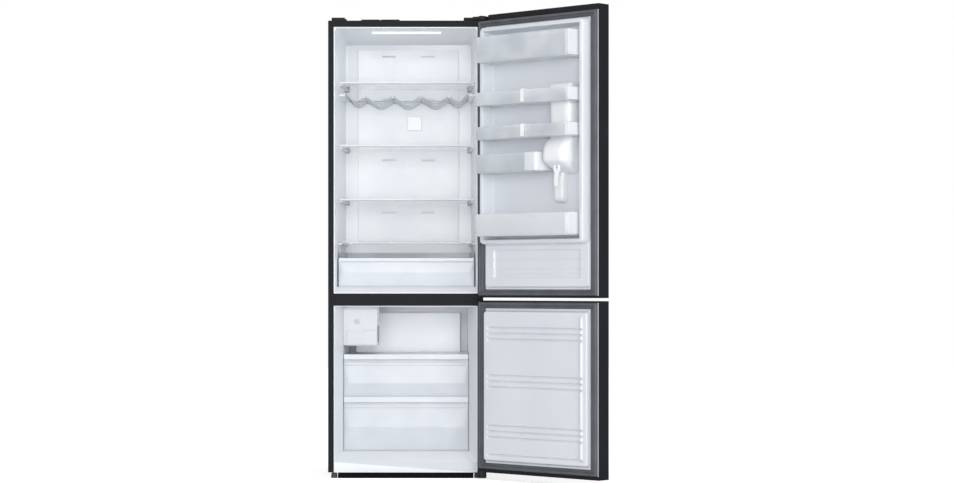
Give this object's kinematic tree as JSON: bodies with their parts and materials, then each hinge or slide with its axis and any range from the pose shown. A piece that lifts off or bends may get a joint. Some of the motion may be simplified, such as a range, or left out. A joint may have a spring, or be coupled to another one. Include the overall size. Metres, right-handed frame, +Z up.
{
  "type": "bottom freezer refrigerator",
  "caption": "Tall two-door cabinet with a fridge over a freezer, both doors hung on the right and standing open, with shelves, drawers, a wave rack and door bins.",
  "frame": {"origin": "on the floor under the middle of the cabinet's front edge", "axes": "+X to the right seen from the front, +Y from the front to the back, +Z up"},
  "size_m": [1.0601, 1.0418, 1.786],
  "materials": {
    "black_steel": "satin dark coated sheet",
    "zinc_steel": "bare zinc-coated sheet",
    "foam": "cut rigid foam",
    "white_plastic": "glossy white moulding",
    "clear_plastic": "clear moulding",
    "shelf_glass": "toughened clear",
    "trim_white": "glossy white strip",
    "chrome_wire": "bright wire",
    "grey_gasket": "soft extruded",
    "black_plastic": "fine grained",
    "compressor_black": "enamelled can",
    "aluminium_fins": "bare rolled",
    "lamp_white": "frosted lens"
  },
  "bodies": {
    "cabinet": {"cabinet_shell": "black_steel", "rear_panel": "zinc_steel", "mid_rail": "black_steel", "cabinet_foam": "foam", "fridge_liner": "white_plastic", "freezer_liner": "white_plastic", "lamp_lens": "lamp_white", "fridge_duct_panel": "white_plastic", "filter_cover": "white_plastic", "ice_maker_housing": "white_plastic", "freezer_duct_panel": "white_plastic", "evaporator": "aluminium_fins", "mains_inlet": "black_plastic", "compressor": "compressor_black", "machine_cover": "zinc_steel", "base_plate": "zinc_steel", "plinth": "black_plastic", "top_covers": "black_plastic", "hinge_cover": "black_plastic", "top_hinge": "zinc_steel", "middle_hinge": "black_steel", "lower_hinge": "black_steel"},
    "upper_door": {"upper_door_skin": "black_steel", "upper_door_caps": "black_plastic", "upper_door_foam": "foam", "upper_door_liner": "white_plastic", "upper_door_gasket": "grey_gasket", "dispenser_housing": "white_plastic"},
    "lower_door": {"lower_door_skin": "black_steel", "lower_door_caps": "black_plastic", "lower_door_foam": "foam", "lower_door_liner": "white_plastic", "lower_door_gasket": "grey_gasket"},
    "shelf_1": {"shelf_glass_1": "shelf_glass", "shelf_trim_1": "trim_white"},
    "shelf_2": {"shelf_glass_2": "shelf_glass", "shelf_trim_2": "trim_white"},
    "shelf_3": {"shelf_glass_3": "shelf_glass", "shelf_trim_3": "trim_white"},
    "crisper_lid": {"crisper_cover": "shelf_glass"},
    "crisper": {"crisper_drawer": "clear_plastic"},
    "rack": {"wine_rack": "chrome_wire"},
    "freezer_shelf_a": {"freezer_shelf_upper": "white_plastic"},
    "freezer_shelf_b": {"freezer_shelf_lower": "white_plastic"},
    "drawer_upper": {"freezer_drawer_upper": "clear_plastic"},
    "drawer_lower": {"freezer_drawer_lower": "clear_plastic"},
    "ice_twister": {"ice_knob": "white_plastic", "ice_tray": "white_plastic"},
    "fan": {"fan_rotor": "black_plastic"},
    "rollers": {"rear_rollers": "black_plastic"},
    "foot_left": {"front_foot_left": "black_plastic"},
    "foot_right": {"front_foot_right": "black_plastic"},
    "bin_1": {"door_bin_1": "clear_plastic"},
    "bin_2": {"door_bin_2": "clear_plastic"},
    "bin_3": {"door_bin_3": "clear_plastic"},
    "bin_4": {"door_bin_4": "clear_plastic"},
    "bin_5": {"door_bin_5": "clear_plastic"},
    "holder_upper": {"bottle_holder_upper": "white_plastic"},
    "holder_lower": {"bottle_holder_lower": "white_plastic"},
    "lever": {"dispenser_lever": "white_plastic"}
  },
  "joints": [
    {"name": "upper_door_hinge", "type": "hinge", "parent": "cabinet", "child": "upper_door", "pos_m": [0.293, -0.021, 1.2], "axis": [0, 0, 1], "range_deg": [-137, 0]},
    {"name": "lower_door_hinge", "type": "hinge", "parent": "cabinet", "child": "lower_door", "pos_m": [0.293, -0.021, 0.35], "axis": [0, 0, 1], "range_deg": [-137, 0]},
    {"name": "shelf_1_slide", "type": "slide", "parent": "cabinet", "child": "shelf_1", "axis": [0, -1, 0], "range_m": [0, 0.28]},
    {"name": "shelf_2_slide", "type": "slide", "parent": "cabinet", "child": "shelf_2", "axis": [0, -1, 0], "range_m": [0, 0.28]},
    {"name": "shelf_3_slide", "type": "slide", "parent": "cabinet", "child": "shelf_3", "axis": [0, -1, 0], "range_m": [0, 0.28]},
    {"name": "wine_rack_slide", "type": "slide", "parent": "cabinet", "child": "rack", "axis": [0, -1, 0], "range_m": [0, 0.25]},
    {"name": "crisper_lid_slide", "type": "slide", "parent": "cabinet", "child": "crisper_lid", "axis": [0, -1, 0], "range_m": [0, 0.25]},
    {"name": "crisper_slide", "type": "slide", "parent": "cabinet", "child": "crisper", "axis": [0, -1, 0], "range_m": [0, 0.3]},
    {"name": "freezer_shelf_upper_slide", "type": "slide", "parent": "cabinet", "child": "freezer_shelf_a", "axis": [0, -1, 0], "range_m": [0, 0.25]},
    {"name": "freezer_shelf_lower_slide", "type": "slide", "parent": "cabinet", "child": "freezer_shelf_b", "axis": [0, -1, 0], "range_m": [0, 0.25]},
    {"name": "freezer_drawer_upper_slide", "type": "slide", "parent": "cabinet", "child": "drawer_upper", "axis": [0, -1, 0], "range_m": [0, 0.3]},
    {"name": "freezer_drawer_lower_slide", "type": "slide", "parent": "cabinet", "child": "drawer_lower", "axis": [0, -1, 0], "range_m": [0, 0.22]},
    {"name": "ice_twist", "type": "hinge", "parent": "cabinet", "child": "ice_twister", "pos_m": [-0.189, 0.06, 0.6052], "axis": [0, 1, 0], "range_deg": [0, 110], "stiffness_Nm_per_rad": 0.02},
    {"name": "fan_spin", "type": "hinge", "parent": "cabinet", "child": "fan", "pos_m": [0, 0.447, 0.52], "axis": [0, 1, 0], "continuous": true},
    {"name": "roller_spin", "type": "hinge", "parent": "cabinet", "child": "rollers", "pos_m": [0, 0.56, 0.01], "axis": [1, 0, 0], "continuous": true},
    {"name": "left_foot_turn", "type": "hinge", "parent": "cabinet", "child": "foot_left", "pos_m": [-0.277, 0.015, 0.02], "axis": [0, 0, 1], "continuous": true},
    {"name": "right_foot_turn", "type": "hinge", "parent": "cabinet", "child": "foot_right", "pos_m": [0.277, 0.015, 0.02], "axis": [0, 0, 1], "continuous": true},
    {"name": "bin_1_lift", "type": "slide", "parent": "upper_door", "child": "bin_1", "axis": [0, 0, 1], "range_m": [0, 0.015]},
    {"name": "bin_2_lift", "type": "slide", "parent": "upper_door", "child": "bin_2", "axis": [0, 0, 1], "range_m": [0, 0.03]},
    {"name": "bin_3_lift", "type": "slide", "parent": "upper_door", "child": "bin_3", "axis": [0, 0, 1], "range_m": [0, 0.03]},
    {"name": "bin_4_lift", "type": "slide", "parent": "upper_door", "child": "bin_4", "axis": [0, 0, 1], "range_m": [0, 0.03]},
    {"name": "bin_5_lift", "type": "slide", "parent": "upper_door", "child": "bin_5", "axis": [0, 0, 1], "range_m": [0, 0.03]},
    {"name": "upper_holder_slide", "type": "slide", "parent": "bin_2", "child": "holder_upper", "axis": [-0.7314, 0.682, 0], "range_m": [-0.06, 0.1]},
    {"name": "lower_holder_slide", "type": "slide", "parent": "bin_3", "child": "holder_lower", "axis": [-0.7314, 0.682, 0], "range_m": [-0.06, 0.1]},
    {"name": "lever_press", "type": "hinge", "parent": "upper_door", "child": "lever", "pos_m": [0.56954, -0.36228, 1.175], "axis": [-0.7314, 0.682, 0], "range_deg": [-15, 0], "stiffness_Nm_per_rad": 0.03}
  ]
}
